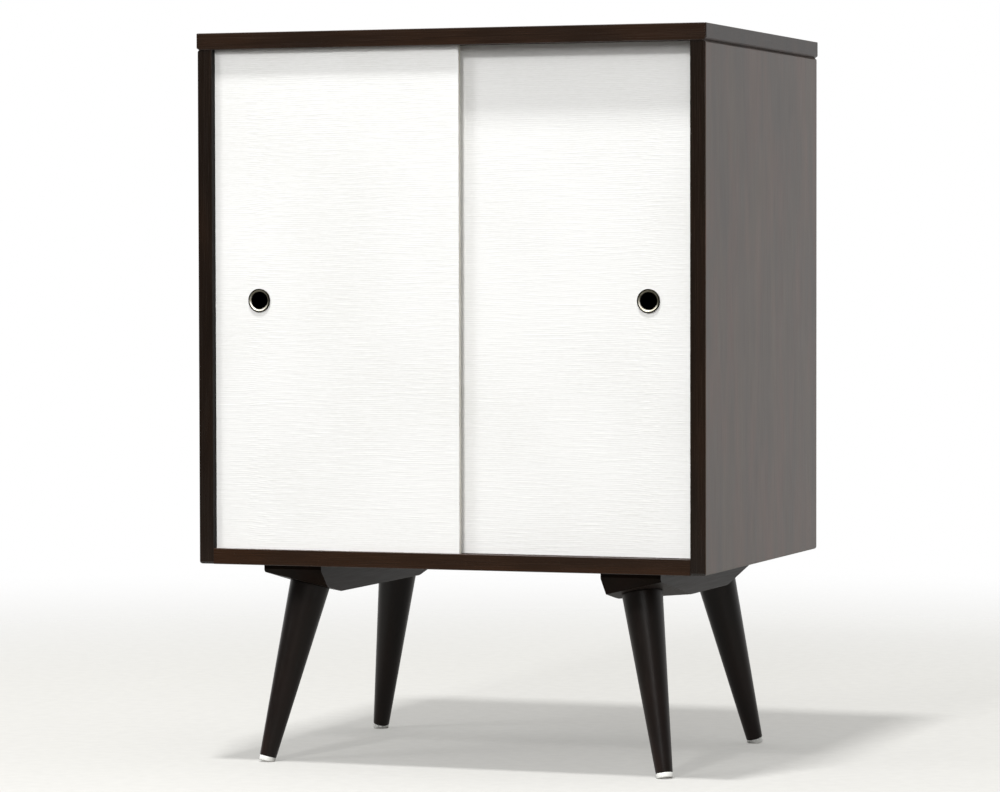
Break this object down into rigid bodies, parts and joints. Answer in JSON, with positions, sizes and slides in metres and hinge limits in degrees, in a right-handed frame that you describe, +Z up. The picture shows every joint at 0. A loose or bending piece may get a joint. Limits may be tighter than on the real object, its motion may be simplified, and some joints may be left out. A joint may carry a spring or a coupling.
{
  "type": "credenza",
  "caption": "Square cabinet with two textured sliding doors in grooves, an adjustable shelf and splayed, tapered legs on bevelled cleats.",
  "frame": {"origin": "centre of the footprint on the floor", "axes": "+X to the viewer's right, +Z up, the doors face -Y"},
  "size_m": [0.612, 0.459, 0.842],
  "materials": {
    "case_wood": "espresso stain under satin lacquer",
    "cleat_wood": "espresso stain under satin lacquer",
    "leg_wood": "turned, espresso stain under satin lacquer",
    "shelf_wood": "espresso stain under satin lacquer",
    "back_hardboard": "smooth brown hardboard",
    "door_hardboard": "painted hardboard",
    "door_facing": "ribbed grass cloth painted white",
    "pull_metal": "nickel plated brass, a little worn",
    "pin_brass": "plain turned brass",
    "zinc_steel": "zinc plated steel",
    "glide_plastic": "moulded white nylon",
    "dowel_beech": "bare beech"
  },
  "bodies": {
    "case": {"top_panel": "case_wood", "left_side_panel": "case_wood", "right_side_panel": "case_wood", "bottom_panel": "case_wood", "back_panel": "back_hardboard", "bottom_dowels": "dowel_beech", "top_dowels": "dowel_beech", "back_side_screws": "zinc_steel", "back_bottom_screws": "zinc_steel", "adjustable_shelf": "shelf_wood", "shelf_pins": "pin_brass", "left_cleat": "cleat_wood", "right_cleat": "cleat_wood", "cleat_screws": "zinc_steel", "front_left_leg": "leg_wood", "front_left_leg_bolt": "zinc_steel", "front_left_leg_nut": "zinc_steel", "front_left_glide": "glide_plastic", "front_left_glide_nail": "zinc_steel", "rear_left_leg": "leg_wood", "rear_left_leg_bolt": "zinc_steel", "rear_left_leg_nut": "zinc_steel", "rear_left_glide": "glide_plastic", "rear_left_glide_nail": "zinc_steel", "front_right_leg": "leg_wood", "front_right_leg_bolt": "zinc_steel", "front_right_leg_nut": "zinc_steel", "front_right_glide": "glide_plastic", "front_right_glide_nail": "zinc_steel", "rear_right_leg": "leg_wood", "rear_right_leg_bolt": "zinc_steel", "rear_right_leg_nut": "zinc_steel", "rear_right_glide": "glide_plastic", "rear_right_glide_nail": "zinc_steel"},
    "front_door": {"front_door_panel": "door_hardboard", "front_door_facing": "door_facing", "front_door_pull": "pull_metal", "front_door_pull_backing": "pull_metal"},
    "rear_door": {"rear_door_panel": "door_hardboard", "rear_door_facing": "door_facing", "rear_door_pull": "pull_metal", "rear_door_pull_backing": "pull_metal"}
  },
  "joints": [
    {"name": "front_door_slide", "type": "slide", "parent": "case", "child": "front_door", "axis": [1, 0, 0], "range_m": [0, 0.2745]},
    {"name": "rear_door_slide", "type": "slide", "parent": "case", "child": "rear_door", "axis": [-1, 0, 0], "range_m": [0, 0.2745]}
  ]
}
